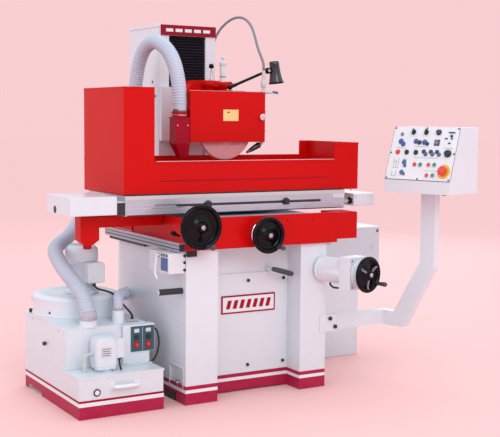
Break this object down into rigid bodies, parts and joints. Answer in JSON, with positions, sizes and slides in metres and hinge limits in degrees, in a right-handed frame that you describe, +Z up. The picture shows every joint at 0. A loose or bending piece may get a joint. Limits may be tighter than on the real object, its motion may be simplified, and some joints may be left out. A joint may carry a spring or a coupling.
{
  "type": "hydraulic surface grinding machine",
  "caption": "White and red hydraulic surface grinder with splash guard, hooded wheel head, front handwheels, swivelling control pendant and a floor-standing dust and coolant collector.",
  "frame": {"origin": "floor level under the middle of the front block of the machine base", "axes": "+X is the operator's right along the table travel, +Y points to the column at the rear, +Z is up"},
  "size_m": [2.1619, 1.6996, 1.9216],
  "materials": {
    "white_paint": "satin",
    "red_paint": "satin",
    "grey_paint": "satin",
    "black_paint": "gloss",
    "ground_iron": "ground",
    "bare_steel": "brushed",
    "bright_steel": "polished",
    "brass_fitting": "polished",
    "black_rubber": "matt",
    "black_plastic": "matt",
    "hose_plastic": "gloss",
    "red_plastic": "gloss",
    "green_plastic": "gloss",
    "abrasive": "grainy"
  },
  "bodies": {
    "machine": {"base_casting": "white_paint", "recess_cover": "white_paint", "machine_screws": "bare_steel", "levelling_pads": "black_rubber", "lifting_bar": "bare_steel", "valve_box": "white_paint", "column_casting": "white_paint", "column_top_cover": "red_paint", "column_bellows": "black_rubber", "elevating_screw": "bare_steel", "elevating_housing": "white_paint", "pendant_arm": "white_paint", "hydraulic_tank": "white_paint", "electrical_cabinet": "grey_paint", "collector_tank": "white_paint", "collector_chest": "white_paint", "tank_control_box": "white_paint", "dust_drum": "white_paint", "blower_motor": "white_paint", "pump_motor": "white_paint", "dust_hose": "hose_plastic", "return_hose": "hose_plastic", "coolant_hose": "black_rubber", "blower_cable": "black_rubber", "control_cable": "black_rubber"},
    "saddle": {"saddle_casting": "ground_iron", "saddle_apron": "red_paint", "cross_rail": "grey_paint", "coolant_trough": "red_paint"},
    "table": {"table_casting": "ground_iron", "table_end_covers": "white_paint", "magnetic_chuck": "bare_steel", "table_dogs": "bright_steel", "splash_guard": "red_paint"},
    "wheel_head": {"head_housing": "red_paint", "wheel_hood": "red_paint", "dust_nozzle": "red_paint", "coolant_pipe": "brass_fitting"},
    "spindle": {"spindle_shaft": "bare_steel", "grinding_wheel": "abrasive", "wheel_flange": "bare_steel"},
    "door": {"hood_door": "red_paint"},
    "table_wheel": {"table_handwheel": "black_paint"},
    "table_grip": {"table_crank_grip": "bright_steel"},
    "cross_wheel": {"cross_handwheel": "black_paint"},
    "cross_grip": {"cross_crank_grip": "bright_steel"},
    "lift_wheel": {"elevating_handwheel": "black_paint"},
    "lift_grip": {"elevating_crank_grip": "bright_steel"},
    "lamp_stay": {"lamp_arm": "black_paint"},
    "lamp": {"lamp_head": "black_paint"},
    "clamp_lever": {"head_clamp_lever": "bright_steel"},
    "speed_lever": {"table_speed_lever": "bright_steel"},
    "reverse_lever": {"table_reverse_lever": "black_plastic"},
    "console": {"console_shell": "white_paint"},
    "wheel_switch": {"wheel_selector": "black_plastic"},
    "table_switch": {"table_selector": "black_plastic"},
    "start": {"start_button": "green_plastic"},
    "stop": {"stop_button": "red_plastic"},
    "stop_all": {"emergency_stop": "red_plastic"},
    "table_knob": {"star_knob": "black_plastic"}
  },
  "joints": [
    {"name": "cross_slide", "type": "slide", "parent": "machine", "child": "saddle", "axis": [0, 1, 0], "range_m": [-0.127, 0.127]},
    {"name": "table_slide", "type": "slide", "parent": "saddle", "child": "table", "axis": [1, 0, 0], "range_m": [-0.28, 0.28]},
    {"name": "head_slide", "type": "slide", "parent": "machine", "child": "wheel_head", "axis": [0, 0, 1], "range_m": [-0.065, 0.225], "deforming": ["column_bellows", "dust_hose", "coolant_hose"]},
    {"name": "spindle_spin", "type": "hinge", "parent": "wheel_head", "child": "spindle", "pos_m": [-0.012, -0.05, 1.3115], "axis": [0, -1, 0], "continuous": true},
    {"name": "door_hinge", "type": "hinge", "parent": "wheel_head", "child": "door", "pos_m": [-0.229, -0.096, 1.375], "axis": [0, 0, -1], "range_deg": [0, 90]},
    {"name": "table_wheel_spin", "type": "hinge", "parent": "saddle", "child": "table_wheel", "pos_m": [-0.363, -0.47, 0.862], "axis": [0, -1, 0], "continuous": true},
    {"name": "table_grip_spin", "type": "hinge", "parent": "table_wheel", "child": "table_grip", "pos_m": [-0.335, -0.5, 0.772], "axis": [0, -1, 0], "continuous": true},
    {"name": "cross_wheel_spin", "type": "hinge", "parent": "saddle", "child": "cross_wheel", "pos_m": [0.005, -0.47, 0.808], "axis": [0, -1, 0], "continuous": true},
    {"name": "cross_grip_spin", "type": "hinge", "parent": "cross_wheel", "child": "cross_grip", "pos_m": [0.05, -0.5, 0.75], "axis": [0, -1, 0], "continuous": true},
    {"name": "lift_wheel_spin", "type": "hinge", "parent": "machine", "child": "lift_wheel", "pos_m": [0.45461, -0.67191, 0.612], "axis": [0.2588, -0.9659, 0], "continuous": true},
    {"name": "lift_grip_spin", "type": "hinge", "parent": "lift_wheel", "child": "lift_grip", "pos_m": [0.50717, -0.66715, 0.566], "axis": [0.2588, -0.9659, 0], "continuous": true},
    {"name": "lamp_arm_tilt", "type": "hinge", "parent": "wheel_head", "child": "lamp_stay", "pos_m": [0.043, -0.008, 1.526], "axis": [0, -1, 0], "range_deg": [-8, 12]},
    {"name": "lamp_tilt", "type": "hinge", "parent": "lamp_stay", "child": "lamp", "pos_m": [0.27, -0.008, 1.617], "axis": [0, -1, 0], "range_deg": [-25, 25]},
    {"name": "clamp_lever_turn", "type": "hinge", "parent": "wheel_head", "child": "clamp_lever", "pos_m": [0.063, 0.23, 1.567], "axis": [0, 0, 1], "range_deg": [-45, 45]},
    {"name": "speed_lever_swing", "type": "hinge", "parent": "machine", "child": "speed_lever", "pos_m": [-0.49, -0.284, 0.72], "axis": [-1, 0, 0], "range_deg": [-30, 30]},
    {"name": "reverse_lever_swing", "type": "hinge", "parent": "machine", "child": "reverse_lever", "pos_m": [0.122, -0.3, 0.618], "axis": [0, -1, 0], "range_deg": [-20, 20]},
    {"name": "console_swivel", "type": "hinge", "parent": "machine", "child": "console", "pos_m": [0.84, -0.653, 1.006], "axis": [0, 0, 1], "range_deg": [-60, 60]},
    {"name": "wheel_switch_turn", "type": "hinge", "parent": "console", "child": "wheel_switch", "pos_m": [0.75994, -0.62394, 1.3061], "axis": [-0.9153, -0.2625, 0.3054], "range_deg": [-45, 45]},
    {"name": "table_switch_turn", "type": "hinge", "parent": "console", "child": "table_switch", "pos_m": [0.78061, -0.69604, 1.3061], "axis": [-0.9153, -0.2625, 0.3054], "range_deg": [-45, 45]},
    {"name": "start_press", "type": "slide", "parent": "console", "child": "start", "axis": [-0.9153, -0.2625, 0.3054], "range_m": [0, 0.0025], "stiffness_N_per_m": 600, "springref_m": -0.001},
    {"name": "stop_press", "type": "slide", "parent": "console", "child": "stop", "axis": [-0.9153, -0.2625, 0.3054], "range_m": [0, 0.0025], "stiffness_N_per_m": 600, "springref_m": -0.001},
    {"name": "emergency_turn", "type": "hinge", "parent": "console", "child": "stop_all", "pos_m": [0.76219, -0.85008, 1.11851], "axis": [-0.9153, -0.2625, 0.3054], "range_deg": [0, 45]},
    {"name": "table_knob_turn", "type": "hinge", "parent": "table", "child": "table_knob", "pos_m": [0.62, -0.275, 0.943], "axis": [1, 0, 0], "continuous": true}
  ],
  "couplings": [
    {"joint": "table_wheel_spin", "follows": "table_slide", "rad_per_m": 78.54},
    {"joint": "cross_wheel_spin", "follows": "cross_slide", "rad_per_m": 1256.6},
    {"joint": "lift_wheel_spin", "follows": "head_slide", "rad_per_m": 2513.3}
  ]
}
